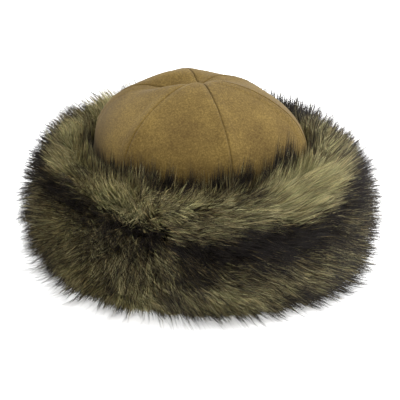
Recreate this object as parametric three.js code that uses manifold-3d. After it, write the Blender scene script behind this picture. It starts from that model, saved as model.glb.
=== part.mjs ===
// Fur hat: a six-gore suede crown on an upright band, with a deep fur cuff all the way round.
// Millimetres, +Z up, and the wearer's front towards -Y. The origin is on the surface that the hat
// rests on, under its middle. A bearing is in degrees, from the front round towards +X.
import * as THREE from "three";
import { mergeVertices } from "three/addons/utils/BufferGeometryUtils.js";
import Module from "manifold-3d";

const wasm = await Module();
wasm.setup();

// Plan of the whole hat: a head is longer than it is wide.
const OVAL_X = 0.985;
const OVAL_Y = 1.015;
const STEPS_ROUND = 48;
const JOIN_GAP = 0.3;

// Suede crown.
const GORES = 6;
const GORE_ANGLE = 360 / GORES;
const SUEDE = 1.4;
const CROWN_RADIUS = 97.5;
const CROWN_RISE = 63;
const WIDEST_Z = 106;
const HEM_Z = 88;
const APEX_HOLE = 1.2;
const DOME_ROWS = 10;
const SKIRT_ROWS = 2;
const DOME_MARGIN = 3.5;
const DIMPLE_DEPTH = 2.5;
const DIMPLE_RADIUS = 12;
const PUFF_RADIUS = 30;
const PUFF_SPREAD = 24;
// A soft dent beside the top, left of it as the wearer's front is seen: the bearing and radius of
// its middle, the bearing that it runs along, its depth, and how far it reaches both ways.
const DENT = { bearing: 243, radius: 26, runs: 254, depth: 11, long: 26, wide: 13 };
// A gore's level section lies between a round arc (0) and a straight chord (1).
const CHORD_SAG = 1 - Math.cos(THREE.MathUtils.degToRad(GORE_ANGLE / 2));
const STRAIGHT_AT_WIDEST = 0.25;
const STRAIGHT_ABOVE = 0.6;

// Each gore with the seam on its side of lower bearing: how far the seam stands over the even
// dome halfway up, and how far the gore puffs up near the top.
const GORE_TABLE = [
  { seamLift: 0, puff: 0.5 },
  { seamLift: 0, puff: -2 },
  { seamLift: -4, puff: -0.5 },
  { seamLift: 0.5, puff: 1.5 },
  { seamLift: 2, puff: 1.5 },
  { seamLift: 0, puff: 3 },
];

// Upright band inside the cuff.
const BAND_WALL = 2;
const BAND_FOOT_Z = 3;
const BAND_TOP_Z = 96.5;

// Fur cuff: the section of its dense body, and the locks that stand on it.
const CUFF_MIDDLE_RADIUS = 125.5;
const CUFF_MIDDLE_Z = 53;
const CUFF_OUTER_HALF = 27.5;
const CUFF_INNER_HALF = 46;
const CUFF_HALF_HEIGHT = 50;
const CUFF_SQUARENESS = 2.4;
const CUFF_SECTION_STEPS = 14;
const CUFF_STEPS_ROUND = 36;
const FLOOR_SINK = 6;

// Where the pile stands fuller than the even ring, or is pressed in. place: degrees round the
// cuff's section from level outwards, up positive.
const FULL_SPOTS = [
  { bearing: 208, place: 65, reach: 2 },
  { bearing: 150, place: 75, reach: 3 },
  { bearing: 98, place: 60, reach: -7 },
  { bearing: 44, place: -42, reach: 8 },
  { bearing: 340, place: -50, reach: -5 },
  { bearing: 272, place: -46, reach: 3 },
  { bearing: 258, place: 45, reach: -4 },
];
const SPOT_SPREAD = 34;

// Rows of locks from the rim beside the crown, over the outside, to the foot. lay: degrees that a
// lock turns from the section's normal towards the rim. comb: degrees that it is combed round.
const LOCK_ROWS = [
  { place: 114, count: 22, length: 31, width: 24, lay: -8, comb: 34 },
  { place: 91, count: 22, length: 34, width: 30, lay: -8, comb: 50 },
  { place: 67, count: 23, length: 35, width: 32, lay: -10, comb: 53 },
  { place: 42, count: 24, length: 35, width: 33, lay: -14, comb: 52 },
  { place: 15, count: 24, length: 35, width: 33, lay: -28, comb: 48 },
  { place: -12, count: 24, length: 35, width: 33, lay: -34, comb: 46 },
  { place: -40, count: 23, length: 33, width: 33, lay: -18, comb: 48 },
];
const LOCK_SIDES = 4;
const LOCK_FLATNESS = 0.42;
const LOCK_BELLY = 1.6;
const LOCK_DROOP = 0.1;
const LOCK_ROOT_SHARE = 0.32;

// How far one lock differs from its row, either way.
const LENGTH_VARIATION = 0.2;
const WIDTH_VARIATION = 0.1;
const PLACE_VARIATION = 5;
const LAY_VARIATION = 6;
const COMB_VARIATION = 8;
const SPACING_VARIATION = 0.3;

const suede = { color: 0x7b653a, roughness: 0.95, metalness: 0 };
const hideBand = { color: 0x4a3b28, roughness: 0.9, metalness: 0 };
const furPile = { color: 0x6f6750, roughness: 1, metalness: 0 };

const UP = new THREE.Vector3(0, 0, 1);
const radians = THREE.MathUtils.degToRad;

// A point from its bearing, its distance from the middle and its height, set on the oval plan.
function onOval(bearing, radius, z) {
  const turn = radians(bearing);
  return new THREE.Vector3(OVAL_X * radius * Math.sin(turn), -OVAL_Y * radius * Math.cos(turn), z);
}

// Repeatable numbers between -1 and 1: the remainder walk of a small multiplying generator.
const WALK_FACTOR = 16807;
const WALK_LENGTH = 2147483647;
let walk = 8128;
function vary() {
  walk = (walk * WALK_FACTOR) % WALK_LENGTH;
  return (2 * walk) / WALK_LENGTH - 1;
}

// Merge a geometry's shared corners and keep its positions only.
function plainGeometry(geometry) {
  const positions = geometry.clone();
  positions.deleteAttribute("normal");
  positions.deleteAttribute("uv");
  return mergeVertices(positions, 1e-4);
}

function toSolid(geometry) {
  const plain = plainGeometry(geometry);
  return new wasm.Manifold(
    new wasm.Mesh({
      numProp: 3,
      vertProperties: plain.attributes.position.array,
      triVerts: new Uint32Array(plain.index.array),
    }),
  );
}

function toGeometry(solid) {
  const mesh = solid.getMesh();
  const geometry = new THREE.BufferGeometry();
  geometry.setAttribute("position", new THREE.BufferAttribute(mesh.vertProperties, 3));
  geometry.setIndex(new THREE.BufferAttribute(mesh.triVerts, 1));
  geometry.computeVertexNormals();
  return geometry;
}

// Turn a profile of [radius, z] pairs round the hat's axis, on the oval plan.
function turned(profile, steps) {
  const points = profile.map(([radius, z]) => new THREE.Vector2(radius, z));
  const geometry = new THREE.LatheGeometry(points, steps);
  geometry.rotateX(Math.PI / 2);
  geometry.scale(OVAL_X, OVAL_Y, 1);
  return geometry;
}

function dentDepth(bearing, radius) {
  const turn = radians(bearing);
  const middle = radians(DENT.bearing);
  const runs = radians(DENT.runs);
  const x = radius * Math.sin(turn) - DENT.radius * Math.sin(middle);
  const y = radius * Math.cos(turn) - DENT.radius * Math.cos(middle);
  const along = (x * Math.sin(runs) + y * Math.cos(runs)) / DENT.long;
  const across = (x * Math.cos(runs) - y * Math.sin(runs)) / DENT.wide;
  return DENT.depth * Math.exp(-(along ** 2) - across ** 2);
}

// The height that the crown's seams and gores add to its even dome.
function crownRelief(gore, across, climb, radius) {
  const here = GORE_TABLE[gore];
  const next = GORE_TABLE[(gore + 1) % GORES];
  const share = 0.5 - 0.5 * Math.cos(Math.PI * across);
  const seamLift = THREE.MathUtils.lerp(here.seamLift, next.seamLift, share);
  const middle = 1 - (2 * across - 1) ** 2;
  const puff = here.puff * middle * Math.exp(-(((radius - PUFF_RADIUS) / PUFF_SPREAD) ** 2));
  const dimple = DIMPLE_DEPTH * Math.exp(-((radius / DIMPLE_RADIUS) ** 2));
  const dent = dentDepth((gore + across) * GORE_ANGLE, radius);
  return seamLift * Math.sin(Math.PI * climb) + puff - dimple - dent;
}

// Outer surface of a gore: across runs 0 to 1 between its seams, climb 0 to 1 from the widest
// level to the top, and below 0 down the upright skirt to the hem. Gives a radius and a height.
function goreOutline(gore, across, climb) {
  const dome = Math.max(climb, 0);
  const sag = CHORD_SAG * (1 - (2 * across - 1) ** 2);
  const skirt = Math.min(climb, 0);
  const straight = Math.max(STRAIGHT_AT_WIDEST * (1 + 2 * skirt), 0);
  const blend = THREE.MathUtils.lerp(straight, STRAIGHT_ABOVE, Math.min(2 * dome, 1));
  const topClimb = 1 - APEX_HOLE / CROWN_RADIUS / (Math.PI / 2);
  const rise = radians(90 * dome * topClimb);
  const seamRadius = CROWN_RADIUS * Math.cos(rise);
  return {
    radius: seamRadius * (1 - blend * sag),
    z: WIDEST_Z + CROWN_RISE * Math.sin(rise) + crownRelief(gore, across, dome, seamRadius)
      + skirt * (WIDEST_Z - HEM_Z),
  };
}

// One gore: a slab of even cells bent to the crown, its wall inside the outer surface.
function makeGore(gore) {
  const columns = STEPS_ROUND / GORES;
  const rows = DOME_ROWS + SKIRT_ROWS;
  const slab = new THREE.BoxGeometry(1, 1, 1, columns, rows, 1);
  const corners = slab.attributes.position;
  const nudge = 0.002;
  for (let i = 0; i < corners.count; i += 1) {
    const across = corners.getX(i) + 0.5;
    const row = (corners.getY(i) + 0.5) * rows - SKIRT_ROWS;
    const climb = row < 0 ? row / SKIRT_ROWS : row / DOME_ROWS;
    const inside = 0.5 - corners.getZ(i);
    const point = goreOutline(gore, across, climb);
    const above = goreOutline(gore, across, Math.min(climb + nudge, 1));
    const below = goreOutline(gore, across, climb - nudge);
    const slope = Math.hypot(above.radius - below.radius, above.z - below.z);
    const radius = point.radius - (inside * SUEDE * (above.z - below.z)) / slope;
    const z = point.z + (inside * SUEDE * (above.radius - below.radius)) / slope;
    const edge = THREE.MathUtils.radToDeg(Math.asin(JOIN_GAP / 2 / point.radius));
    const bearing = gore * GORE_ANGLE + edge + across * (GORE_ANGLE - 2 * edge);
    const placed = onOval(bearing, radius, z);
    corners.setXYZ(i, placed.x, placed.y, placed.z);
  }
  return toGeometry(toSolid(slab));
}

const PANEL_INNER_RADIUS = CROWN_RADIUS - SUEDE;
const BAND_OUTER_RADIUS = PANEL_INNER_RADIUS - JOIN_GAP;

function makeBand() {
  const inner = BAND_OUTER_RADIUS - BAND_WALL;
  const profile = [
    [inner, BAND_FOOT_Z],
    [BAND_OUTER_RADIUS, BAND_FOOT_Z],
    [BAND_OUTER_RADIUS, BAND_TOP_Z],
    [inner, BAND_TOP_Z],
    [inner, BAND_FOOT_Z],
  ];
  return toGeometry(toSolid(turned(profile, STEPS_ROUND)));
}

// How much fuller the pile stands at a bearing and a place round the section.
function fullness(bearing, place) {
  let reach = 0;
  for (const spot of FULL_SPOTS) {
    const around = ((bearing - spot.bearing + 540) % 360) - 180;
    const over = ((place - spot.place + 540) % 360) - 180;
    reach += spot.reach * Math.exp(-(around ** 2 + over ** 2) / (2 * SPOT_SPREAD ** 2));
  }
  return reach;
}

// A radius and a height on the dense body's section.
function cuffSection(bearing, place) {
  const turn = radians(place);
  const power = 2 / CUFF_SQUARENESS;
  const out = Math.sign(Math.cos(turn)) * Math.abs(Math.cos(turn)) ** power;
  const up = Math.sign(Math.sin(turn)) * Math.abs(Math.sin(turn)) ** power;
  const reach = fullness(bearing, place);
  const sink = up < 0 ? FLOOR_SINK * up * up : 0;
  const half = out < 0 ? CUFF_INNER_HALF : CUFF_OUTER_HALF + reach;
  return new THREE.Vector2(
    CUFF_MIDDLE_RADIUS + half * out,
    CUFF_MIDDLE_Z + (CUFF_HALF_HEIGHT + reach) * up - sink,
  );
}

function makeCuffBody() {
  const profile = [];
  for (let step = 0; step <= CUFF_SECTION_STEPS; step += 1) {
    profile.push([CUFF_MIDDLE_RADIUS, step]);
  }
  const body = turned(profile, CUFF_STEPS_ROUND);
  const corners = body.attributes.position;
  for (let i = 0; i < corners.count; i += 1) {
    const column = Math.floor(i / profile.length) % CUFF_STEPS_ROUND;
    const step = (i % profile.length) % CUFF_SECTION_STEPS;
    const bearing = (360 * column) / CUFF_STEPS_ROUND;
    const place = -180 + (360 * step) / CUFF_SECTION_STEPS;
    const point = cuffSection(bearing, place);
    const placed = onOval(bearing, point.x, point.y);
    corners.setXYZ(i, placed.x, placed.y, placed.z);
  }
  return toSolid(body);
}

// The direction of a lock: out of the section, turned by its lay, then combed round the hat.
function lockHeading(row, bearing, place) {
  const spread = 2;
  const along = cuffSection(bearing, place + spread).sub(cuffSection(bearing, place - spread));
  const lift = Math.atan2(-along.x, along.y) + radians(row.lay + LAY_VARIATION * vary());
  const comb = radians(row.comb + COMB_VARIATION * vary());
  const turn = radians(bearing);
  const outwards = new THREE.Vector3(Math.sin(turn), -Math.cos(turn), 0);
  const sideways = new THREE.Vector3(Math.cos(turn), Math.sin(turn), 0);
  const heading = outwards.multiplyScalar(Math.cos(lift) * Math.cos(comb));
  heading.addScaledVector(UP, Math.sin(lift) * Math.cos(comb));
  heading.addScaledVector(sideways, Math.sin(comb)).normalize();
  const thick = heading.clone().cross(sideways).normalize();
  const wide = heading.clone().cross(thick);
  return { heading, thick, wide, droop: LOCK_DROOP * Math.cos(lift) };
}

// One lock: a flat four-sided cone with a fuller belly and its tip drawn downwards.
function makeLock(row, bearing) {
  const length = row.length * (1 + LENGTH_VARIATION * vary());
  const width = row.width * (1 + WIDTH_VARIATION * vary());
  const place = row.place + PLACE_VARIATION * vary();
  const { heading, thick, wide, droop } = lockHeading(row, bearing, place);
  const root = cuffSection(bearing, place);
  const start = onOval(bearing, root.x, root.y);
  const cone = new THREE.ConeGeometry(width / 2, length, LOCK_SIDES, 2);
  const corners = cone.attributes.position;
  for (let i = 0; i < corners.count; i += 1) {
    const share = corners.getY(i) / length + 0.5;
    const belly = 1 + LOCK_BELLY * share * (1 - share);
    const point = start.clone().addScaledVector(heading, length * (share - LOCK_ROOT_SHARE));
    point.addScaledVector(wide, corners.getX(i) * belly);
    point.addScaledVector(thick, corners.getZ(i) * belly * LOCK_FLATNESS);
    point.addScaledVector(UP, -droop * length * share * share);
    corners.setXYZ(i, point.x, point.y, point.z);
  }
  return toSolid(cone);
}

// What the cuff goes round: the band, the gores' hems and the dome, with the join gap outside them.
function makeHeadSpace() {
  const below = -10;
  const highest = WIDEST_Z + CROWN_RISE + DOME_MARGIN;
  const bandSide = BAND_OUTER_RADIUS + JOIN_GAP;
  const crownSide = CROWN_RADIUS + JOIN_GAP;
  const profile = [
    [0, below],
    [bandSide, below],
    [bandSide, HEM_Z - JOIN_GAP],
    [crownSide, HEM_Z - JOIN_GAP],
  ];
  for (let step = 0; step < DOME_ROWS; step += 1) {
    const rise = radians((90 * step) / DOME_ROWS);
    const radius = crownSide * Math.cos(rise) + DOME_MARGIN * Math.sin(2 * rise);
    profile.push([radius, THREE.MathUtils.lerp(WIDEST_Z, highest, Math.sin(rise))]);
  }
  profile.push([0, highest]);
  return toSolid(turned(profile, STEPS_ROUND));
}

function makeBelowFloor() {
  const side = 600;
  const depth = 60;
  const slab = new THREE.BoxGeometry(side, side, depth);
  slab.translate(0, 0, -depth / 2);
  return toSolid(slab);
}

function makeCuff() {
  let fur = makeCuffBody();
  LOCK_ROWS.forEach((row, rowNumber) => {
    for (let lock = 0; lock < row.count; lock += 1) {
      const stagger = (rowNumber % 2) / 2 + SPACING_VARIATION * vary();
      fur = fur.add(makeLock(row, ((lock + stagger) * 360) / row.count));
    }
  });
  const trimmed = fur.subtract(makeHeadSpace()).subtract(makeBelowFloor());
  const largestFirst = trimmed.decompose().sort((a, b) => b.volume() - a.volume());
  return toGeometry(largestFirst[0]);
}

function namedMesh(name, geometry, finish) {
  const mesh = new THREE.Mesh(geometry, new THREE.MeshStandardMaterial(finish));
  mesh.name = name;
  return mesh;
}

const hat = new THREE.Group();
for (let gore = 0; gore < GORES; gore += 1) {
  hat.add(namedMesh(`crown_panel_${gore + 1}`, makeGore(gore), suede));
}
hat.add(namedMesh("side_band", makeBand(), hideBand));
hat.add(namedMesh("fur_cuff", makeCuff(), furPile));

export default hat;
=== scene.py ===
# %% [markdown]
# # A fur hat, dressed round its fixed frame
#
# The hat is a domed crown of six suede gores, an upright band that goes round the head, and a deep
# fur cuff that hides the band. The frame holds their true sizes. This file gives each of them its
# finished surface: napped suede with sewn seams, a plain hide band, and a pile of separate hairs.
# The scene is in metres, the hat stands on z = 0, and the wearer's front is towards -Y. The hat's
# own sizes are written in millimetres and turned into metres where they become points.

# %% Load the frame and measure it
import math

import bmesh
import bpy
import numpy as np
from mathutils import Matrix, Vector, noise


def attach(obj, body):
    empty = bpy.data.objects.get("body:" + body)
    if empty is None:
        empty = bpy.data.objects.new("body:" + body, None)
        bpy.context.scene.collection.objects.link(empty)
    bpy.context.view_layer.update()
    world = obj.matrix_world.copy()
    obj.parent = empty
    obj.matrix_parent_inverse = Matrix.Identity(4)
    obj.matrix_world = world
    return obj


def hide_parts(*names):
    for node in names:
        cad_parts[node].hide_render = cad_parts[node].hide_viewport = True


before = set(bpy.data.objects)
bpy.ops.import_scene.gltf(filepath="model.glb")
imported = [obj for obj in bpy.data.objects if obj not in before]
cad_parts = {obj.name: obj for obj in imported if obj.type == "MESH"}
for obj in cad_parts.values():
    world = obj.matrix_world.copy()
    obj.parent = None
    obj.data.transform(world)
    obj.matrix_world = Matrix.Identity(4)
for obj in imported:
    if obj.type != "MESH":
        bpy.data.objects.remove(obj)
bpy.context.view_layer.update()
MM = 0.001
SEED = 20
rng = np.random.default_rng(SEED)


print("nodes:", sorted(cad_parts))

# %% [markdown]
# ## The camera, the light and the floor
#
# The hat was photographed from a little above, turned slightly, with a long lens that hardly
# narrows what is further away. A camera that is set up first lets every later piece be judged in
# the same view. It is placed by its distance, its bearing and its height angle round a point in the
# hat, because those three are what a photographer would note down.

# %% Camera
CAMERA_BEARING = -16.5
CAMERA_RISE = 24.0
CAMERA_DISTANCE = 1.53
AIM = Vector((0.0, 0.0, 0.0523))
FRAME_WIDTH = 0.36
SENSOR_WIDTH = 36.0
FARTHEST_SEEN = 20.0


def from_bearing(bearing, rise, distance, centre):
    """A point at a bearing (0 is the front, 90 is +X), a height angle and a distance."""
    turn, lift = math.radians(bearing), math.radians(rise)
    level = math.cos(lift)
    heading = Vector((math.sin(turn) * level, -math.cos(turn) * level, math.sin(lift)))
    return centre + distance * heading


def aim_at(obj, target):
    """Turns a camera or lamp, which looks along its own -Z, towards a point."""
    obj.rotation_euler = (target - obj.location).to_track_quat("-Z", "Y").to_euler()


camera_data = bpy.data.cameras.new("studio_camera")
camera_data.sensor_width = SENSOR_WIDTH
camera_data.lens = SENSOR_WIDTH * CAMERA_DISTANCE / FRAME_WIDTH
camera_data.clip_end = FARTHEST_SEEN
camera = bpy.data.objects.new("studio_camera", camera_data)
camera.location = from_bearing(CAMERA_BEARING, CAMERA_RISE, CAMERA_DISTANCE, AIM)
aim_at(camera, AIM)
bpy.context.scene.collection.objects.link(camera)
bpy.context.scene.camera = camera
bpy.context.scene.view_settings.view_transform = "Standard"
print("camera at", [round(v, 3) for v in camera.location], "lens", round(camera_data.lens, 1))

# %% [markdown]
# Soft light from large area lamps keeps the shadows between hairs gentle. The main lamp stands high
# on the right and, as the camera sees it, slightly behind the hat, because the right side of the
# crown is the brighter one. A weaker lamp fills in from the left, another lights the back, and an
# even sky lightens every shadow. The floor is nearly white and glows a little by itself, which
# keeps the shadow at the foot of the hat faint.

# %% Lamps, sky and floor
LAMPS = [
    {"name": "main", "bearing": 78, "rise": 52, "distance": 1.6, "size": 2.0, "watts": 43},
    {"name": "fill", "bearing": -70, "rise": 35, "distance": 1.9, "size": 2.2, "watts": 12},
    {"name": "back", "bearing": 185, "rise": 55, "distance": 1.6, "size": 1.8, "watts": 12},
]
for lamp in LAMPS:
    data = bpy.data.lights.new(lamp["name"] + "_lamp", "AREA")
    data.shape = "DISK"
    data.size = lamp["size"]
    data.energy = lamp["watts"]
    stand = bpy.data.objects.new(lamp["name"] + "_lamp", data)
    stand.location = from_bearing(lamp["bearing"], lamp["rise"], lamp["distance"], AIM)
    aim_at(stand, AIM)
    bpy.context.scene.collection.objects.link(stand)

WHITE = (1.0, 1.0, 1.0, 1.0)
SKY_STRENGTH = 0.84
sky = bpy.data.worlds.new("studio_sky")
sky.use_nodes = True
sky.node_tree.nodes["Background"].inputs["Color"].default_value = WHITE
sky.node_tree.nodes["Background"].inputs["Strength"].default_value = SKY_STRENGTH
bpy.context.scene.world = sky


def link_mesh(name, bm_or_mesh):
    """Puts a bmesh or a mesh into the scene as an object at the origin."""
    mesh = bm_or_mesh
    if isinstance(bm_or_mesh, bmesh.types.BMesh):
        mesh = bpy.data.meshes.new(name)
        bm_or_mesh.to_mesh(mesh)
        bm_or_mesh.free()
    obj = bpy.data.objects.new(name, mesh)
    bpy.context.scene.collection.objects.link(obj)
    return obj


def count_triangles(obj):
    """Triangles in an object's mesh: a face with n corners counts n - 2."""
    return len(obj.data.loops) - 2 * len(obj.data.polygons)


FLOOR_HALF = 3.0
FLOOR_ALBEDO = 0.96
FLOOR_GLOW = 0.6
FLOOR_ROUGHNESS = 0.9
floor_bm = bmesh.new()
bmesh.ops.create_grid(floor_bm, x_segments=1, y_segments=1, size=FLOOR_HALF)
floor = link_mesh("pale_floor", floor_bm)
floor_paint = bpy.data.materials.new("pale_floor_paint")
floor_paint.use_nodes = True
floor_shader = floor_paint.node_tree.nodes["Principled BSDF"]
floor_shader.inputs["Base Color"].default_value = (FLOOR_ALBEDO, FLOOR_ALBEDO, FLOOR_ALBEDO, 1.0)
floor_shader.inputs["Roughness"].default_value = FLOOR_ROUGHNESS
floor_shader.inputs["Emission Color"].default_value = WHITE
floor_shader.inputs["Emission Strength"].default_value = FLOOR_GLOW
floor.data.materials.append(floor_paint)

# %% [markdown]
# ## A small kit for materials
#
# Every finish below is a chain of a few nodes: a position, a noise or two, and a colour ramp into
# one shader. A helper for each kind of link keeps those chains short to read.

# %% Node helpers
def new_finish(name, **constants):
    """A material with one Principled shader; constants are set on the shader's own sockets."""
    material = bpy.data.materials.new(name)
    material.use_nodes = True
    shader = material.node_tree.nodes["Principled BSDF"]
    for socket, value in constants.items():
        shader.inputs[socket.replace("_", " ")].default_value = value
    return material, material.node_tree, shader


def add_node(tree, kind, links=(), **settings):
    """A node with its settings; links maps an input to the output that feeds it, or to a number."""
    node = tree.nodes.new("ShaderNode" + kind)
    for key, value in settings.items():
        setattr(node, key, value)
    for socket, source in dict(links).items():
        if isinstance(source, bpy.types.NodeSocket):
            tree.links.new(source, node.inputs[socket])
        else:
            node.inputs[socket].default_value = source
    return node


def add_ramp(tree, value, stops):
    """A colour ramp through (position, colour) stops."""
    node = add_node(tree, "ValToRGB", {"Fac": value})
    elements = node.color_ramp.elements
    while len(elements) < len(stops):
        elements.new(0.5)
    for element, (position, colour) in zip(elements, stops):
        element.position = position
        element.color = colour
    return node.outputs["Color"]


def srgb(red, green, blue):
    """A colour read on the usual 0 to 255 scale, as the linear colour that a shader takes."""
    shares = [v / 255 for v in (red, green, blue)]
    linear = [v / 12.92 if v <= 0.04045 else ((v + 0.055) / 1.055) ** 2.4 for v in shares]
    return (*linear, 1.0)


def add_noise(tree, scale, detail, roughness=0.5):
    """A noise over the object's own place, with about that many patches in a metre."""
    place = add_node(tree, "TexCoord").outputs["Object"]
    links = {"Vector": place, "Scale": scale, "Detail": detail, "Roughness": roughness}
    return add_node(tree, "TexNoise", links).outputs["Fac"]


def add_bump(tree, height, strength, distance):
    """A shading normal from a height; the distance is what height 1 stands for, in metres."""
    links = {"Height": height, "Strength": strength, "Distance": distance}
    return add_node(tree, "Bump", links).outputs["Normal"]


def add_math(tree, operation, *values):
    """One step of arithmetic on numbers or outputs."""
    return add_node(tree, "Math", dict(enumerate(values)), operation=operation).outputs["Value"]


def add_range(tree, value, low, high, to_low=0.0, to_high=1.0):
    """Maps a range of values onto another one and holds the ends."""
    links = {"Value": value, "From Min": low, "From Max": high, "To Min": to_low, "To Max": to_high}
    return add_node(tree, "MapRange", links).outputs["Result"]


def add_mix(tree, share, first, second, blend_type="MIX"):
    """Mixes two colours, which go in at the node's sockets 6 and 7 and come out at its socket 2."""
    links = {"Factor": share, 6: first, 7: second}
    return add_node(tree, "Mix", links, data_type="RGBA", blend_type=blend_type).outputs[2]


# %% [markdown]
# ## The plan of the hat and the even form of its crown
#
# A head is longer than it is wide, so the whole hat is worked out on circles and then pressed to an
# oval. The crown is a dome over an upright skirt. Between two seams the suede pulls straighter than
# a true dome, each gore puffs or sinks a little near the top, and a long dent is folded in left of
# it. The same few sizes as in the frame make this form, so the fine suede lies exactly where the
# frame's gores are.

# %% Plan and crown sizes
OVAL_X = 0.985
OVAL_Y = 1.015
GORES = 6
GORE_ANGLE = 360 / GORES
SUEDE = 1.4
CROWN_RADIUS = 97.5
CROWN_RISE = 63.0
WIDEST_Z = 106.0
HEM_Z = 88.0
CHORD_SAG = 1 - math.cos(math.radians(GORE_ANGLE / 2))
STRAIGHT_AT_WIDEST = 0.25
STRAIGHT_ABOVE = 0.6
STRAIGHTENS_OVER = 0.5
DIMPLE_DEPTH = 2.5
DIMPLE_RADIUS = 12.0
PUFF_RADIUS = 30.0
PUFF_SPREAD = 24.0
DENT = {"bearing": 243, "radius": 26, "runs": 254, "depth": 11, "long": 26, "wide": 13}
GORE_TABLE = [
    {"seam_lift": 0.0, "puff": 0.5},
    {"seam_lift": 0.0, "puff": -2.0},
    {"seam_lift": -4.0, "puff": -0.5},
    {"seam_lift": 0.5, "puff": 1.5},
    {"seam_lift": 2.0, "puff": 1.5},
    {"seam_lift": 0.0, "puff": 3.0},
]


def eased(share):
    """Goes from 0 to 1 with the share, slowly at both ends."""
    return 0.5 - 0.5 * math.cos(math.pi * share)


def on_oval(bearing, radius, z):
    """Metres from a bearing in degrees and millimetres of radius and height."""
    turn = math.radians(bearing)
    return Vector((OVAL_X * radius * math.sin(turn), -OVAL_Y * radius * math.cos(turn), z)) * MM


def dent_depth(bearing, radius):
    """How deep the folded-in place left of the top is, in millimetres."""
    turn, middle = math.radians(bearing), math.radians(DENT["bearing"])
    x = radius * math.sin(turn) - DENT["radius"] * math.sin(middle)
    y = radius * math.cos(turn) - DENT["radius"] * math.cos(middle)
    runs = math.radians(DENT["runs"])
    along = (x * math.sin(runs) + y * math.cos(runs)) / DENT["long"]
    across = (x * math.cos(runs) - y * math.sin(runs)) / DENT["wide"]
    return DENT["depth"] * math.exp(-(along**2) - across**2)


def crown_relief(gore, across, climb, radius):
    """Height that the seams and gores add to the even dome, in millimetres."""
    here, following = GORE_TABLE[gore], GORE_TABLE[(gore + 1) % GORES]
    lift = here["seam_lift"] + (following["seam_lift"] - here["seam_lift"]) * eased(across)
    middle = 1 - (2 * across - 1) ** 2
    puff = here["puff"] * middle * math.exp(-(((radius - PUFF_RADIUS) / PUFF_SPREAD) ** 2))
    dimple = DIMPLE_DEPTH * math.exp(-((radius / DIMPLE_RADIUS) ** 2))
    dimple += dent_depth((gore + across) * GORE_ANGLE, radius)
    return lift * math.sin(math.pi * climb) + puff - dimple


def gore_outline(gore, across, climb):
    """Radius and height of the outer suede. climb: 0 widest, 1 the top, -1 the hem."""
    dome, skirt = max(climb, 0.0), min(climb, 0.0)
    sag = CHORD_SAG * (1 - (2 * across - 1) ** 2)
    straight = max(STRAIGHT_AT_WIDEST * (1 + skirt / STRAIGHTENS_OVER), 0.0)
    blend = straight + (STRAIGHT_ABOVE - straight) * min(dome / STRAIGHTENS_OVER, 1.0)
    rise = math.radians(90 * dome)
    seam_radius = CROWN_RADIUS * math.cos(rise)
    height = WIDEST_Z + CROWN_RISE * math.sin(rise) + skirt * (WIDEST_Z - HEM_Z)
    return seam_radius * (1 - blend * sag), height + crown_relief(gore, across, dome, seam_radius)


# %% [markdown]
# ## Suede gores
#
# Each gore is a flat piece of suede, sewn to its neighbours with the right sides together. The
# seam draws both edges down into a narrow groove, and the turned-in seam allowance lies under the
# suede beside it and lifts it slightly. The hand adds slow waves, which fade out at the very top.
# A grid that is bent over the crown can hold all this, if its columns stand close together beside
# the seams. The wall is added afterwards, inwards.

# %% Seam and surface relief
COLUMNS = 40
ROWS = 66
SEAM_DEPTH = 1.3
SEAM_WIDTH = 0.7
ALLOWANCE_WIDTH = 7.0
ALLOWANCE_LIFT = 0.4
ALLOWANCE_EDGE = 1.0
STITCH_PITCH = 3.2
STITCH_PUCKER = 0.12
PUCKER_WIDTH = 4.0
WAVE_SIZE = 32.0
WAVE_HEIGHT = 0.7
RIPPLE_SIZE = 9.0
RIPPLE_HEIGHT = 0.12
CALM_RADIUS = 12.0
CLIMB_STEP = 0.004


def smooth_step(low, high, value):
    """0 below low, 1 above high, and a smooth rise between them."""
    share = min(max((value - low) / (high - low), 0.0), 1.0)
    return share * share * (3 - 2 * share)


def seam_relief(from_seam, along):
    """How far the suede stands out, that many millimetres from a seam and along it."""
    groove = -SEAM_DEPTH * math.exp(-((from_seam / SEAM_WIDTH) ** 2))
    edge = smooth_step(ALLOWANCE_WIDTH, ALLOWANCE_WIDTH + ALLOWANCE_EDGE, from_seam)
    pucker = STITCH_PUCKER * math.sin(2 * math.pi * along / STITCH_PITCH)
    return groove + ALLOWANCE_LIFT * (1 - edge) + pucker * math.exp(-from_seam / PUCKER_WIDTH)


def hand_waves(point):
    """The slight unevenness of soft suede, from a position in millimetres."""
    wave = WAVE_HEIGHT * noise.noise(point / WAVE_SIZE)
    return wave + RIPPLE_HEIGHT * noise.noise(point / RIPPLE_SIZE)


def suede_point(gore, across, climb):
    """A point of the finished outer suede, in metres."""
    radius, z = gore_outline(gore, across, climb)
    r_up, z_up = gore_outline(gore, across, min(climb + CLIMB_STEP, 1.0))
    r_down, z_down = gore_outline(gore, across, climb - CLIMB_STEP)
    slope = math.hypot(r_up - r_down, z_up - z_down)
    out_r, out_z = (z_up - z_down) / slope, (r_down - r_up) / slope
    width = math.radians(GORE_ANGLE) * radius
    from_seam = min(across, 1 - across) * width
    along = climb * CROWN_RADIUS * math.pi / 2
    bearing = (gore + across) * GORE_ANGLE
    relief = seam_relief(from_seam, along)
    relief += hand_waves(on_oval(bearing, radius, z) / MM) * smooth_step(0.0, CALM_RADIUS, radius)
    return on_oval(bearing, radius + relief * out_r, z + relief * out_z)


# %% Build the six gores
SHEET_HALF = 0.5
SKIRT_SHARE = 0.12
TEST_CLIMB = 0.4
WELD = 0.02


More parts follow.
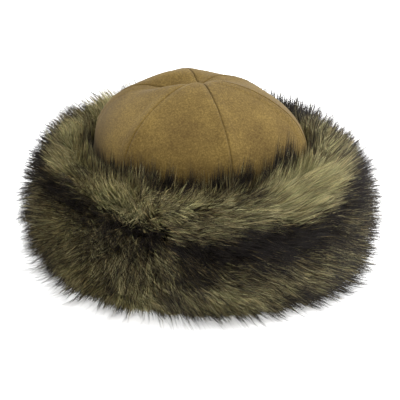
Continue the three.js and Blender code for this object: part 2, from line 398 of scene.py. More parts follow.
def build_gore(gore):
    """One gore: a grid bent over the crown, closed at the top, with a wall put inside it."""
    bm = bmesh.new()
    bmesh.ops.create_grid(bm, x_segments=COLUMNS, y_segments=ROWS, size=SHEET_HALF)
    for vert in bm.verts:
        across = eased(vert.co.x + SHEET_HALF)
        up = vert.co.y + SHEET_HALF
        on_skirt = up < SKIRT_SHARE
        climb = up / SKIRT_SHARE - 1 if on_skirt else (up - SKIRT_SHARE) / (1 - SKIRT_SHARE)
        vert.co = suede_point(gore, across, climb)
    bmesh.ops.remove_doubles(bm, verts=bm.verts, dist=WELD * MM)
    bmesh.ops.recalc_face_normals(bm, faces=bm.faces)
    # The sheet is still open, so one face halfway up tells which way round it came out.
    target = suede_point(gore, 0.5, TEST_CLIMB)
    middle = min(bm.faces, key=lambda face: (face.calc_center_median() - target).length)
    if middle.normal.dot(middle.calc_center_median()) < 0:
        bmesh.ops.reverse_faces(bm, faces=bm.faces)
    bmesh.ops.solidify(bm, geom=bm.faces, thickness=SUEDE * MM)
    for face in bm.faces:
        face.smooth = True
    return link_mesh(f"suede_gore_{gore + 1}", bm)


gores = [build_gore(gore) for gore in range(GORES)]
print("suede triangles:", sum(count_triangles(piece) for piece in gores))

# %% [markdown]
# Suede is the brushed flesh side of the hide. Its short nap scatters light, so it has no gloss, a
# slight glow at grazing angles, and a mottle where fingers and the sewing have laid the nap over.

# %% Suede finish
NAP_SHARE = 0.62
suede, tree, shader = new_finish(
    "tan_suede", Roughness=0.95, Specular_IOR_Level=0.15, Sheen_Weight=0.06, Sheen_Roughness=0.5
)
cloud = add_noise(tree, scale=24.0, detail=3.0, roughness=0.6)
nap = add_noise(tree, scale=640.0, detail=4.0, roughness=0.7)
mottle = add_node(tree, "Mix", {"Factor": NAP_SHARE, "A": cloud, "B": nap}, data_type="FLOAT")
tan = add_ramp(tree, mottle.outputs["Result"], [
    (0.38, srgb(77, 60, 28)),
    (0.5, srgb(94, 76, 37)),
    (0.61, srgb(114, 94, 48)),
])
tree.links.new(tan, shader.inputs["Base Color"])
fuzz = add_bump(tree, nap, strength=0.5, distance=0.0004)
tree.links.new(fuzz, shader.inputs["Normal"])

for number, piece in enumerate(gores, 1):
    piece.data.materials.append(suede)
    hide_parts(f"crown_panel_{number}")
    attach(piece, "root")

# %% [markdown]
# ## The band
#
# The band stands upright round the head. The crown is sewn to its top and the fur to its outside,
# so only its inner side shows, from below. A profile spun round the axis is the plainest way to a
# ring, and bevels round its two cut edges.

# %% Band
SEAM_GAP = 0.3
BAND_WALL = 2.0
BAND_OUTER_RADIUS = CROWN_RADIUS - SUEDE - SEAM_GAP
BAND_FOOT_Z = 3.0
BAND_TOP_Z = 96.5
BAND_STEPS = 120
RIM_BEVEL = 0.6
SHARP_EDGE = 1.2  # radians between the two faces that meet there


def spun_ring(profile, steps):
    """Spins a closed loop of (radius, height) points round the axis and presses it to the oval."""
    bm = bmesh.new()
    loop = [bm.verts.new((radius * MM, 0.0, z * MM)) for radius, z in profile]
    edges = [bm.edges.new((loop[i - 1], loop[i])) for i in range(len(loop))]
    bmesh.ops.spin(bm, geom=loop + edges, cent=(0, 0, 0), axis=(0, 0, 1), dvec=(0, 0, 0),
                   angle=2 * math.pi, steps=steps, use_merge=True)
    bmesh.ops.remove_doubles(bm, verts=bm.verts, dist=WELD * MM)
    bmesh.ops.scale(bm, vec=(OVAL_X, OVAL_Y, 1.0), verts=bm.verts)
    bmesh.ops.recalc_face_normals(bm, faces=bm.faces)
    for face in bm.faces:
        face.smooth = True
    return bm


band_inner = BAND_OUTER_RADIUS - BAND_WALL
band_bm = spun_ring([
    (band_inner, BAND_FOOT_Z), (BAND_OUTER_RADIUS, BAND_FOOT_Z),
    (BAND_OUTER_RADIUS, BAND_TOP_Z), (band_inner, BAND_TOP_Z),
], BAND_STEPS)
rims = [edge for edge in band_bm.edges if edge.calc_face_angle(0.0) > SHARP_EDGE]
bmesh.ops.bevel(band_bm, geom=rims, offset=RIM_BEVEL * MM, segments=2, profile=0.5,
                affect="EDGES", material=-1)
band = link_mesh("upright_band", band_bm)

# %% Band finish
hide, tree, shader = new_finish("brown_hide", Roughness=0.9)
grain = add_noise(tree, scale=160.0, detail=5.0)
brown = add_ramp(tree, grain, [
    (0.3, srgb(64, 50, 34)),
    (0.7, srgb(104, 84, 58)),
])
tree.links.new(brown, shader.inputs["Base Color"])
tree.links.new(add_bump(tree, grain, strength=0.4, distance=0.0006), shader.inputs["Normal"])
band.data.materials.append(hide)
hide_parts("side_band")
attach(band, "root")
print("band triangles:", count_triangles(band))

# %% [markdown]
# ## The form of the fur cuff
#
# Two surfaces shape the cuff. The backing is the hide ring that the hair grows from, and the pile
# is the outer form that most tips reach. Both are rounded sections, carried round the oval, with
# the fuller and thinner spots of the frame's cuff, three of them corrected by 1 to 3 mm. A hair is
# then one path from the first to the second, so the whole pile keeps its form however the hairs are
# combed. The backing itself is spun like the band, and only shows between the hairs. Its dark
# colour is partly the underfur's own and partly painted shade for the depth down between the hairs.

# %% Backing and pile sections
PILE = {
    "middle": 125.5, "level": 53.0, "outer": 35.0, "inner": 27.5, "top": 62.0, "foot": 52.5,
    "square_outer": 2.3, "square_inner": 6.0, "square_foot": 2.25,
}
BACKING = {
    "middle": 114.0, "level": 51.0, "outer": 15.0, "inner": 17.5, "top": 40.0, "foot": 42.0,
    "square_outer": 2.4, "square_inner": 3.0, "square_foot": 2.2,
}
FULL_SPOTS = [
    {"bearing": 208, "place": 65, "reach": 4},
    {"bearing": 150, "place": 75, "reach": 4},
    {"bearing": 98, "place": 60, "reach": -7},
    {"bearing": 44, "place": -42, "reach": 5},
    {"bearing": 340, "place": -50, "reach": -5},
    {"bearing": 272, "place": -46, "reach": 3},
    {"bearing": 258, "place": 45, "reach": -4},
]
SPOT_SPREAD = 34.0


def turn_between(angle, other):
    """Degrees from one angle to another, between -180 and 180."""
    return (angle - other + 540) % 360 - 180


def fullness(bearing, place):
    """Extra reach of the pile, in millimetres, at arrays of bearings and places."""
    reach = np.zeros(np.broadcast(bearing, place).shape)
    for spot in FULL_SPOTS:
        away = turn_between(bearing, spot["bearing"]) ** 2 + turn_between(place, spot["place"]) ** 2
        reach += spot["reach"] * np.exp(-away / (2 * SPOT_SPREAD**2))
    return reach


def section_point(section, bearing, place):
    """Radius and height on a section. place: degrees round it from level outwards, up positive."""
    level, rise = np.cos(np.radians(place)), np.sin(np.radians(place))
    above = np.where(level < 0, section["square_inner"], section["square_outer"])
    power = 2 / np.where(rise < 0, section["square_foot"], above)
    out = np.sign(level) * np.abs(level) ** power
    up = np.sign(rise) * np.abs(rise) ** power
    reach = fullness(bearing, place) * section["outer"] / PILE["outer"]
    half = np.where(level < 0, section["inner"], section["outer"] + reach)
    tall = np.where(rise < 0, section["foot"], section["top"])
    return section["middle"] + half * out, section["level"] + (tall + reach) * up


def ring_point(section, bearing, place):
    """Points, in millimetres, on a section carried round the oval."""
    radius, z = section_point(section, bearing, place)
    turn = np.radians(bearing)
    return np.stack([OVAL_X * radius * np.sin(turn), -OVAL_Y * radius * np.cos(turn), z], axis=-1)


# %% Build the backing
BACKING_STEPS = 120
BACKING_PLACES = 40
backing_loop = [
    section_point(BACKING, 0.0, 360 * i / BACKING_PLACES) for i in range(BACKING_PLACES)
]
backing = link_mesh("fur_backing", spun_ring(backing_loop, BACKING_STEPS))
pelt, tree, shader = new_finish("pelt_underfur_and_painted_shade", Roughness=1.0, Specular_IOR_Level=0.1)
# The dark ramp is partly underfur colour and partly painted shade, deep between the hairs.
underfur_and_deep_shade = add_ramp(tree, add_noise(tree, scale=300.0, detail=4.0), [
    (0.35, srgb(30, 26, 20)),
    (0.7, srgb(74, 66, 48)),
])
tree.links.new(underfur_and_deep_shade, shader.inputs["Base Color"])
backing.data.materials.append(pelt)
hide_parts("fur_cuff")
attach(backing, "root")
print("backing triangles:", count_triangles(backing))

# %% [markdown]
# ## Where the fur is pale and where it is dark
#
# The pelt is barred: a pale bar runs along the upper roll, a dark bar winds round the outside under
# it, and a brownish bar follows below. The dark bar is partly the black tips of the pelt and partly
# painted shade under the overhanging roll, so it fades out further below its middle than above.
# Two tables say where, in degrees: a bearing goes round the hat and a place round the roll, with 0
# level outwards and 90 on top. The first table gives the dark bar's middle, half width and depth,
# and each row of the second adds or takes tone round one spot. Those spots are partly the pelt's
# own colour and partly painted light and shade, such as the painted shade on the roll at the back
# right, beside the crown. Every wisp of hair looks its own tone up. Tone 0 is a hair with a long
# black tip, and tone 1 a pale one.

# %% Tone of the fur
# The dark bar: partly the pelt's black tips, partly painted shade under the overhanging roll.
DARK_BAR_AND_SHADE = [
    {"bearing": -92, "place": 48, "half": 12, "depth": 0.68},
    {"bearing": -60, "place": 44, "half": 10, "depth": 0.80},
    {"bearing": -35, "place": 30, "half": 9, "depth": 0.88},
    {"bearing": -12, "place": 18, "half": 11, "depth": 0.81},
    {"bearing": 20, "place": 20, "half": 15, "depth": 0.84},
    {"bearing": 32, "place": 19, "half": 14, "depth": 0.80},
    {"bearing": 50, "place": 32, "half": 14, "depth": 0.66},
    {"bearing": 90, "place": 36, "half": 13, "depth": 0.70},
    {"bearing": 140, "place": 24, "half": 12, "depth": 0.62},
    {"bearing": 200, "place": 40, "half": 12, "depth": 0.62},
]
BAR_TRAIL = 1.5
BAR_EDGE = 14.0
TONE_ABOVE = 0.84
TONE_BELOW = 0.62
# Spots of tone: partly the pelt's own colour, partly painted light and shade.
TONE_LIGHT_SHADE_SPOTS = [
    {"bearing": -61, "place": 127, "wide": 14, "tall": 20, "add": -0.5},
    {"bearing": -27, "place": 118, "wide": 14, "tall": 18, "add": -0.95},
    {"bearing": 2, "place": 118, "wide": 17, "tall": 18, "add": -0.95},
    {"bearing": 29, "place": 128, "wide": 10, "tall": 18, "add": -1.0},
    {"bearing": 34, "place": 100, "wide": 9, "tall": 8, "add": 0.3},
    {"bearing": 36, "place": 90, "wide": 14, "tall": 12, "add": 0.16},
    {"bearing": 0, "place": 90, "wide": 9, "tall": 12, "add": 0.36},
    {"bearing": 10, "place": 66, "wide": 6, "tall": 16, "add": -0.34},
    {"bearing": 30, "place": 60, "wide": 8, "tall": 10, "add": 0.12},
    {"bearing": -8, "place": 56, "wide": 6, "tall": 12, "add": -0.16},
    {"bearing": -60, "place": 0, "wide": 6, "tall": 8, "add": -0.2},
    {"bearing": -34, "place": 54, "wide": 11, "tall": 12, "add": 0.22},
    {"bearing": -16, "place": 42, "wide": 7, "tall": 9, "add": -0.28},
    {"bearing": 46, "place": 0, "wide": 9, "tall": 16, "add": 0.12},
    {"bearing": -8, "place": -55, "wide": 8, "tall": 12, "add": -0.22},
    {"bearing": 20, "place": -47, "wide": 7, "tall": 12, "add": -0.36},
    {"bearing": 10, "place": -45, "wide": 5, "tall": 12, "add": 0.12},
    {"bearing": -30, "place": -55, "wide": 10, "tall": 12, "add": -0.14},
    {"bearing": 48, "place": 84, "wide": 24, "tall": 26, "add": 0.14},
    {"bearing": 38, "place": 70, "wide": 10, "tall": 14, "add": 0.12},
    {"bearing": 34, "place": 4, "wide": 9, "tall": 14, "add": 0.08},
    {"bearing": 61, "place": 24, "wide": 6, "tall": 14, "add": -0.3},
    {"bearing": -8, "place": 74, "wide": 16, "tall": 20, "add": -0.16},
    {"bearing": -90, "place": 90, "wide": 10, "tall": 18, "add": 0.12},
    {"bearing": -86, "place": 16, "wide": 10, "tall": 9, "add": 0.24},
    {"bearing": -70, "place": 30, "wide": 8, "tall": 16, "add": 0.28},
    {"bearing": -82, "place": -8, "wide": 8, "tall": 14, "add": 0.16},
    {"bearing": -52, "place": 40, "wide": 8, "tall": 14, "add": 0.2},
    {"bearing": -50, "place": 82, "wide": 8, "tall": 22, "add": 0.22},
    {"bearing": -34, "place": 0, "wide": 10, "tall": 13, "add": -0.16},
    {"bearing": -8, "place": -12, "wide": 10, "tall": 10, "add": -0.16},
    {"bearing": -58, "place": -42, "wide": 10, "tall": 18, "add": 0.2},
    {"bearing": -45, "place": -45, "wide": 26, "tall": 22, "add": 0.2},
    {"bearing": 5, "place": -46, "wide": 16, "tall": 20, "add": 0.2},
    {"bearing": 24, "place": 48, "wide": 18, "tall": 11, "add": 0.2},
    {"bearing": 32, "place": 76, "wide": 22, "tall": 30, "add": 0.27},
    {"bearing": -88, "place": 78, "wide": 14, "tall": 24, "add": 0.12},
    {"bearing": -50, "place": 65, "wide": 8, "tall": 16, "add": 0.2},
    {"bearing": -85, "place": 72, "wide": 8, "tall": 12, "add": 0.12},
    {"bearing": -72, "place": 76, "wide": 6, "tall": 20, "add": -0.14},
    {"bearing": -70, "place": 12, "wide": 12, "tall": 13, "add": 0.28},
    {"bearing": -27, "place": 12, "wide": 7, "tall": 6, "add": 0.14},
    {"bearing": -40, "place": 4, "wide": 16, "tall": 14, "add": -0.2},
    {"bearing": -5, "place": -22, "wide": 6, "tall": 20, "add": 0.08},
    {"bearing": 10, "place": -28, "wide": 6, "tall": 18, "add": 0.1},
    {"bearing": 21, "place": -10, "wide": 6, "tall": 7, "add": -0.14},
    {"bearing": 50, "place": -12, "wide": 10, "tall": 16, "add": -0.06},
    # Painted shade on the roll at the back right, beside the crown.
    {"bearing": 121, "place": 84, "wide": 16, "tall": 30, "add": -0.7},
    {"bearing": 212, "place": 98, "wide": 10, "tall": 22, "add": 0.4},
    {"bearing": 244, "place": 96, "wide": 16, "tall": 20, "add": 0.24},
    {"bearing": 238, "place": 62, "wide": 16, "tall": 14, "add": -0.22},
    {"bearing": 42, "place": -60, "wide": 22, "tall": 13, "add": -0.4},
    {"bearing": 68, "place": -46, "wide": 13, "tall": 16, "add": -0.3},
    {"bearing": -112, "place": -20, "wide": 16, "tall": 44, "add": -0.2},
    {"bearing": -78, "place": -52, "wide": 15, "tall": 15, "add": -0.3},
    {"bearing": 90, "place": 60, "wide": 12, "tall": 14, "add": -0.1},
    {"bearing": 150, "place": -20, "wide": 18, "tall": 22, "add": 0.14},
    {"bearing": 215, "place": 5, "wide": 16, "tall": 16, "add": -0.16},
]


def table_value(table, bearing, column):
    """A column of a table of bearings, at arrays of bearings between its rows."""
    known = [row["bearing"] for row in table]
    return np.interp(bearing, known, [row[column] for row in table], period=360)


def fur_tone(bearing, place):
    """Tone, 0 dark to 1 pale, at arrays of bearings and places."""
    over = turn_between(place, table_value(DARK_BAR_AND_SHADE, bearing, "place"))
    side = 0.5 + 0.5 * np.tanh(over / BAR_EDGE)
    tone = TONE_BELOW + (TONE_ABOVE - TONE_BELOW) * side
    half, depth = table_value(DARK_BAR_AND_SHADE, bearing, "half"), table_value(DARK_BAR_AND_SHADE, bearing, "depth")
    half = np.where(over < 0, half * BAR_TRAIL, half)
    tone = tone - depth * np.exp(-((over / half) ** 2))
    for spot in TONE_LIGHT_SHADE_SPOTS:
        around = turn_between(bearing, spot["bearing"]) / spot["wide"]
        along = turn_between(place, spot["place"]) / spot["tall"]
        tone = tone + spot["add"] * np.exp(-(around**2) - along**2)
    return tone


# %% [markdown]
# ## How the pelt is combed
#
# The hair of a fur cuff does not stand straight out. It grows outwards, is brushed round the hat to
# one side, and sinks a little under its own weight. A short table gives both motions of a tip past
# its root, in millimetres. Beside the crown the hair stands more upright, and a second table says
# how much longer it is there, where it fringes the suede. Slow random waves break the evenness up.

# %% Combing
COMBING = [
    {"bearing": -90, "comb": 8, "lean": 0},
    {"bearing": -50, "comb": 8, "lean": -3},
    {"bearing": -25, "comb": 15, "lean": -4},
    {"bearing": 5, "comb": 18, "lean": -5},
    {"bearing": 40, "comb": 16, "lean": -6},
    {"bearing": 120, "comb": 13, "lean": -3},
    {"bearing": 220, "comb": 13, "lean": -3},
]
RIM_UPRIGHT = 0.7
FRINGE = [
    {"bearing": -110, "extra": 0.40},
    {"bearing": -71, "extra": 0.55},
    {"bearing": -50, "extra": 0.70},
    {"bearing": -29, "extra": 0.65},
    {"bearing": -12, "extra": 0.55},
    {"bearing": -3, "extra": 1.0},
    {"bearing": 6, "extra": 1.0},
    {"bearing": 13, "extra": 0.65},
    {"bearing": 18, "extra": 0.8},
    {"bearing": 25, "extra": 1.5},
    {"bearing": 32, "extra": 1.4},
    {"bearing": 40, "extra": 0.6},
    {"bearing": 90, "extra": 0.25},
    {"bearing": 150, "extra": 0.0},
    {"bearing": 220, "extra": 0.0},
]
RIM_FROM = 92.0
RIM_OVER = 30.0
DRIFT_WAVES = 9
WAVES_AROUND = (4, 16)
WAVES_ALONG = (-7, 8)
MM_PER_BEARING = 2.5
MM_PER_PLACE = 0.8


def make_drift():
    """A slow random wave over bearing and place, about -1 to 1, that closes round the hat."""
    around = rng.integers(*WAVES_AROUND, DRIFT_WAVES)
    along = rng.integers(*WAVES_ALONG, DRIFT_WAVES)
    phase = rng.uniform(0, 2 * math.pi, DRIFT_WAVES)

    def drift(bearing, place):
        waves = np.sin(np.radians(np.outer(bearing, around) + np.outer(place, along)) + phase)
        return waves.sum(axis=1) / math.sqrt(DRIFT_WAVES / 2)

    return drift


comb_drift, lean_drift, tone_drift, length_drift = (make_drift() for _ in range(4))


def rim_share(place):
    """0 on the roll and 1 on the inner rim, beside the crown."""
    return np.clip((place - RIM_FROM) / RIM_OVER, 0, 1)


# %% [markdown]
# ## Tufts, wisps and hairs
#
# Hair does not lie evenly either: hairs gather in wisps, and wisps in tufts as wide as a finger. So
# tufts are scattered over the pile first and wisps after them. A wisp takes its bend, tone and
# length from its tuft with a little change of its own, and draws towards the tuft's tip. All of it
# is arithmetic on whole arrays, so more than a hundred thousand hairs take only seconds.

# %% Scatter tufts and wisps
PLACE_LOW = -150.0
PLACE_HIGH = 170.0
GOLDEN = 0.6180339887
AREA_STEPS = 600
BEARING_JITTER = 1.5
TUFTS = 760
WISPS = 5400


def spread_evenly(count):
    """Bearings and places of count roots, spread evenly over the area of the pile."""
    places = np.linspace(PLACE_LOW, PLACE_HIGH, AREA_STEPS)
    radius, z = section_point(PILE, 0.0, places)
    step = np.hypot(np.diff(radius), np.diff(z)) * 0.5 * (radius[1:] + radius[:-1])
    area = np.concatenate([[0.0], np.cumsum(step)])
    order = (np.arange(count) + rng.random(count)) / count
    place = np.interp(order * area[-1], area, places)
    bearing = 360 * ((np.arange(count) * GOLDEN) % 1.0) + rng.normal(0, BEARING_JITTER, count)
    return bearing, place


def nearest(bearing, place, bearings, places):
    """For each point of one set, the number of the closest point of another."""
    around = turn_between(bearing[:, None], bearings[None, :]) * MM_PER_BEARING
    along = turn_between(place[:, None], places[None, :]) * MM_PER_PLACE
    return np.argmin(around**2 + along**2, axis=1)


TUFT_TURN = 2.2
TUFT_TONE = 0.04
TUFT_LENGTH = 0.05
TUFT_GATHER = 0.2
WISP_TURN = 1.6
WISP_TONE = 0.06
WISP_LENGTH = 0.06
DRIFT_TURN = 3.0
DRIFT_TONE = 0.07
DRIFT_LENGTH = 0.04

tuft_bearing, tuft_place = spread_evenly(TUFTS)
wisp_bearing, wisp_place = spread_evenly(WISPS)
tuft_of = nearest(wisp_bearing, wisp_place, tuft_bearing, tuft_place)
standing = 1 - RIM_UPRIGHT * rim_share(tuft_place)
tuft_comb = table_value(COMBING, tuft_bearing, "comb") * standing + rng.normal(0, TUFT_TURN, TUFTS)
tuft_lean = table_value(COMBING, tuft_bearing, "lean") * standing + rng.normal(0, TUFT_TURN, TUFTS)
tuft_tone = rng.normal(0, TUFT_TONE, TUFTS)
tuft_length = rng.normal(0, TUFT_LENGTH, TUFTS)
to_tuft_bearing = turn_between(tuft_bearing[tuft_of], wisp_bearing) * TUFT_GATHER
to_tuft_place = turn_between(tuft_place[tuft_of], wisp_place) * TUFT_GATHER
wisp_comb = tuft_comb[tuft_of] + DRIFT_TURN * comb_drift(wisp_bearing, wisp_place)
wisp_comb += rng.normal(0, WISP_TURN, WISPS)
wisp_lean = tuft_lean[tuft_of] + DRIFT_TURN * lean_drift(wisp_bearing, wisp_place)
wisp_lean += rng.normal(0, WISP_TURN, WISPS)
wisp_tip_bearing = wisp_bearing + to_tuft_bearing + wisp_comb / MM_PER_BEARING
wisp_tip_place = wisp_place + to_tuft_place + wisp_lean / MM_PER_PLACE
wisp_tone = fur_tone(wisp_tip_bearing, wisp_tip_place) + tuft_tone[tuft_of]
wisp_tone += rng.normal(0, WISP_TONE, WISPS) + DRIFT_TONE * tone_drift(wisp_bearing, wisp_place)
wisp_length = 1 + tuft_length[tuft_of] + rng.normal(0, WISP_LENGTH, WISPS)
wisp_length += DRIFT_LENGTH * length_drift(wisp_bearing, wisp_place)
print("tufts:", TUFTS, "wisps:", WISPS)

# %% [markdown]
# Two kinds of hair grow in every wisp. The soft underfur is shorter and dense, and has the tone of
# its wisp. The guard hairs are longer, thinner and fewer, and dark at their tips, except in the
# palest wisps. Seen from in front the tips are only fine dark strokes, but along the outline they
# lie behind each other and make a dark edge, as on the real pelt. Low on the cuff both kinds are a
# little longer, and they splay where they meet the floor.
#
# One table holds both kinds, and the same code grows them. It gives how many hairs a wisp has, how
# long they are as a share of the pile's depth and how unevenly, how wide in millimetres, how far
# they gather towards the wisp's tip and scatter round it, how fully they follow the combing, how
# far they rise before they bend, how randomly they face, how much of the wisp's tone they take, and
# which share of them stray.

# %% Comb the hairs
HAIR_KINDS = {
    "underfur": {
        "each": 22, "length": 0.71, "uneven": 0.08, "wide": (0.4, 0.85),
        "gather": 0.3, "scatter": 1.5, "combed": 1.0, "rise": 0.7,
        "roll": 0.8, "tone_share": 1.0, "strays": 0.0,
    },
    "guard": {
        "each": 11, "length": 1.1, "uneven": 0.1, "wide": (0.3, 0.5),
        "gather": 0.5, "scatter": 1.4, "combed": 0.75, "rise": 0.65,
        "roll": 3.0, "tone_share": 0.35, "strays": 0.22,
    },
}
LEVELS = [0.0, 0.5, 0.78, 1.0]
WIDTH_SHARES = [0.9, 1.0, 0.6]
ROOT_SPREAD = 3.6
HAIR_TONE = 0.16
PALE_FROM = 0.85
PALE_GAIN = 0.8
STRAY_EXTRA = 0.5
LONGEST = 1.42
CLEAR_OF_CROWN = 0.6
CLEAR_OF_FLOOR = 0.4
DOME_LIMIT = 0.99
LEAST_RADIUS = 1.0
PALEST = 0.999
FLOOR_SPLAY = 2.2
LOW_FROM = -40.0
LOW_OVER = 28.0
LOW_EXTRA = 0.55
LOW_LENGTH = 0.2


def keep_clear(points):
    """Lifts points off the floor, splays them there, and pushes them out of the crown, in mm."""
    x, y, z = points[..., 0] / OVAL_X, points[..., 1] / OVAL_Y, points[..., 2]
    over = np.clip((z - WIDEST_Z) / CROWN_RISE, 0, DOME_LIMIT)
    wall = CROWN_RADIUS * np.sqrt(1 - over**2) + CLEAR_OF_CROWN
    radius = np.maximum(np.hypot(x, y), LEAST_RADIUS)
    push = np.maximum(wall / radius, 1.0)
    under = np.maximum(CLEAR_OF_FLOOR - z, 0)
    push += FLOOR_SPLAY * under / radius * (radius > PILE["middle"])
    points[..., 0] *= push
    points[..., 1] *= push
    points[..., 2] = np.maximum(z, CLEAR_OF_FLOOR)
    return points


def curve_points(start, control, end):
    """Points of a bent path at the levels, as (hair, level, xyz)."""
    s = np.array(LEVELS)[None, :, None]
    return (1 - s) ** 2 * start[:, None] + 2 * s * (1 - s) * control[:, None] + s**2 * end[:, None]


def comb_hairs(wisps, kind):
    """The paths, widths, tones and facings of one kind of hair in some wisps."""
    own = np.repeat(wisps, kind["each"])
    count = len(own)
    around = rng.normal(0, ROOT_SPREAD, count) / MM_PER_BEARING
    along = rng.normal(0, ROOT_SPREAD, count) / MM_PER_PLACE
    root_bearing, root_place = wisp_bearing[own] + around, wisp_place[own] + along
    kept = 1 - kind["gather"]
    scatter = rng.normal(0, kind["scatter"], (2, count))
    turned = kind["combed"] * (wisp_tip_bearing - wisp_bearing)[own]
    leant = kind["combed"] * (wisp_tip_place - wisp_place)[own]
    tip_bearing = wisp_bearing[own] + turned + kept * around + scatter[0] / MM_PER_BEARING
    tip_place = wisp_place[own] + leant + kept * along + scatter[1] / MM_PER_PLACE
    length = wisp_length[own] * (kind["length"] + rng.normal(0, kind["uneven"], count))
    stray = rng.random(count) < kind["strays"]
    low = np.clip((LOW_FROM - tip_place) / LOW_OVER, 0, 1)
    length += LOW_LENGTH * low + stray * (STRAY_EXTRA + LOW_EXTRA * low) * rng.random(count)
    length = np.minimum(length, LONGEST + LOW_EXTRA * low)
    length += table_value(FRINGE, tip_bearing, "extra") * rim_share(tip_place)
    root = ring_point(BACKING, root_bearing, root_place)
    growth = ring_point(PILE, root_bearing, root_place) - root
    tip_base = ring_point(BACKING, tip_bearing, tip_place)
    tip = tip_base + length[:, None] * (ring_point(PILE, tip_bearing, tip_place) - tip_base)
    paths = keep_clear(curve_points(root, root + kind["rise"] * growth, tip))
    tone = wisp_tone[own] * kind["tone_share"] + rng.normal(0, HAIR_TONE, count)
    tone += PALE_GAIN * np.maximum(wisp_tone[own] - PALE_FROM, 0)
    width = rng.uniform(*kind["wide"], count)
    facing = growth / np.linalg.norm(growth, axis=1, keepdims=True)
    facing = facing + kind["roll"] * rng.normal(size=(count, 3))
    return paths, width, np.clip(tone, 0, PALEST), facing


# %% [markdown]
# A real pelt has millions of hairs. Here a hair is a ribbon about half a millimetre wide, which
# stands for a few that cling together: two four-sided faces and a pointed one. Each faces a random
# way, more so for guard hairs, so that the light breaks up as on round hairs. No operator makes
# such ribbons, so their points are worked out as arrays and joined in one mesh for each zone.

# %% Turn paths into ribbons
PALETTE_ROWS = 256
ROW_MARGIN = 0.15
TINY = 1e-9


def hair_ribbons(name, paths, width, tone, facing):
    """One mesh of tapering ribbons along the paths. Its UV map runs along a hair in u, and in v
    holds the hair's row in a palette of tones."""
    count, levels, _ = paths.shape
    side = np.cross(np.gradient(paths, axis=1), facing[:, None])
    side /= np.linalg.norm(side, axis=2, keepdims=True) + TINY
    half = 0.5 * width[:, None, None] * np.array(WIDTH_SHARES)[None, :, None] * side[:, :-1]
    left, right = paths[:, :-1] - half, paths[:, :-1] + half
    pairs = np.stack([left, right], axis=2).reshape(count, -1, 3)
    vertices = np.concatenate([pairs, paths[:, -1:]], axis=1)
    each = vertices.shape[1]
    quads = [[2 * i, 2 * i + 1, 2 * i + 3, 2 * i + 2] for i in range(levels - 2)]
    corners = np.array(sum(quads, []) + [each - 3, each - 2, each - 1])
    starts = np.array([4 * i for i in range(levels - 1)])
    loops = (corners[None, :] + each * np.arange(count)[:, None]).ravel()
    loop_starts = (starts[None, :] + len(corners) * np.arange(count)[:, None]).ravel()
    mesh = bpy.data.meshes.new(name)
    mesh.vertices.add(count * each)
    mesh.vertices.foreach_set("co", (vertices * MM).astype(np.float32).ravel())
    mesh.loops.add(len(loops))
    mesh.loops.foreach_set("vertex_index", loops.astype(np.int32))
    mesh.polygons.add(len(loop_starts))
    mesh.polygons.foreach_set("loop_start", loop_starts.astype(np.int32))
    mesh.update(calc_edges=True)
    mesh.shade_smooth()
    along = np.array([LEVELS[i // 2] for i in range(each - 1)] + [1.0])
    aside = np.array([ROW_MARGIN, 1 - ROW_MARGIN] * (levels - 1) + [0.5])
    row = np.floor(tone * PALETTE_ROWS)
    u = np.broadcast_to(along[corners], (count, len(corners)))
    v = (row[:, None] + aside[corners][None, :]) / PALETTE_ROWS
    layer = mesh.uv_layers.new(name="OFBake")
    layer.uv.foreach_set("vector", np.stack([u, v], axis=-1).astype(np.float32).ravel())
    return link_mesh(name, mesh)


# %% [markdown]
# One finish colours every hair. The hair's row in the palette gives it its tone and, by chance, a
# lightness and a tint of its own. The shaft is dark at the root, where little light gets in, and
# the tip turns black, sooner on a dark hair than on a pale one.

# %% Fur finish
TIP_STARTS = (0.3, 1.2)
TIP_WANDER = 0.16
TIP_FADE = (-0.05, 0.14)
ROOT_FADE = (0.15, 0.6)
ROOT_SHADE = (0.35, 1.0)
OWN_LIGHTNESS = (0.42, 1.58)
BLACK_TIP = srgb(27, 22, 19)

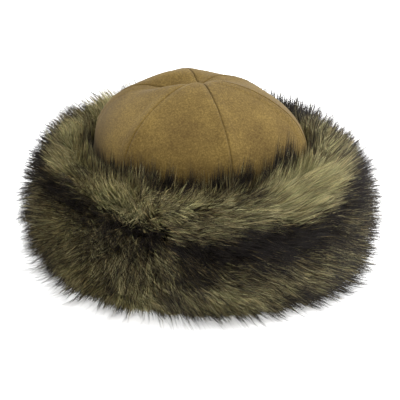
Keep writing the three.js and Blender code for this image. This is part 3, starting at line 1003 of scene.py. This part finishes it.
fur, tree, shader = new_finish("fox_brown_hair", Roughness=0.55, Specular_IOR_Level=0.25)
hair_map = add_node(tree, "UVMap", uv_map="OFBake").outputs["UV"]
spot = add_node(tree, "SeparateXYZ", {"Vector": hair_map}).outputs
row = add_math(tree, "FLOOR", add_math(tree, "MULTIPLY", spot["Y"], PALETTE_ROWS))
tone = add_math(tree, "DIVIDE", row, PALETTE_ROWS)
chances = add_node(tree, "TexWhiteNoise", {"W": row}, noise_dimensions="1D").outputs["Color"]
chance = add_node(tree, "SeparateXYZ", {"Vector": chances}).outputs
shaft = add_ramp(tree, tone, [
    (0.0, srgb(68, 60, 46)),
    (0.35, srgb(122, 112, 82)),
    (1.0, srgb(198, 189, 142)),
])
tip_start = add_range(tree, tone, 0.0, 1.0, *TIP_STARTS)
own_start = add_math(tree, "MULTIPLY_ADD", chance["X"], TIP_WANDER, tip_start)
tipped = add_range(tree, add_math(tree, "SUBTRACT", spot["X"], own_start), *TIP_FADE)
root_shade = add_range(tree, spot["X"], *ROOT_FADE, *ROOT_SHADE)
own_lightness = add_range(tree, chance["Y"], 0.0, 1.0, *OWN_LIGHTNESS)
lightness = add_math(tree, "MULTIPLY", root_shade, own_lightness)
tint = add_ramp(tree, chance["Z"], [
    (0.0, (1.0, 0.86, 0.74, 1.0)),
    (0.5, (0.98, 0.98, 0.98, 1.0)),
    (1.0, (0.86, 0.94, 0.78, 1.0)),
])
tinted = add_mix(tree, 1.0, shaft, tint, "MULTIPLY")
shaded = add_mix(tree, 1.0, tinted, lightness, "MULTIPLY")
tree.links.new(add_mix(tree, tipped, shaded, BLACK_TIP), shader.inputs["Base Color"])

# %% [markdown]
# The fur grows in five zones, from the foot round the outside to the inner rim. Each kind of hair
# is a piece of its own in each zone, so that no mesh becomes too heavy.

# %% Grow the fur
ZONES = [
    {"name": "foot", "low": -180, "high": -55},
    {"name": "lower_side", "low": -55, "high": -8},
    {"name": "outer_side", "low": -8, "high": 35},
    {"name": "upper_roll", "low": 35, "high": 85},
    {"name": "rim", "low": 85, "high": 181},
]
for zone in ZONES:
    wisps = np.flatnonzero((wisp_place >= zone["low"]) & (wisp_place < zone["high"]))
    for kind_name, kind in HAIR_KINDS.items():
        piece = hair_ribbons(f"{kind_name}_{zone['name']}", *comb_hairs(wisps, kind))
        piece.data.materials.append(fur)
        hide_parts("fur_cuff")
        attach(piece, "root")
        print(piece.name, "triangles:", count_triangles(piece))

# %% [markdown]
# ## Close the scene
#
# The dressed hat must stay the size of its frame. Here the triangles of every dressed piece are
# counted, the floor left out.

# %% Triangles
dressed = [
    piece for piece in bpy.context.scene.objects
    if piece.type == "MESH" and not piece.hide_render and piece is not floor
]
print("triangles in all:", sum(count_triangles(piece) for piece in dressed))
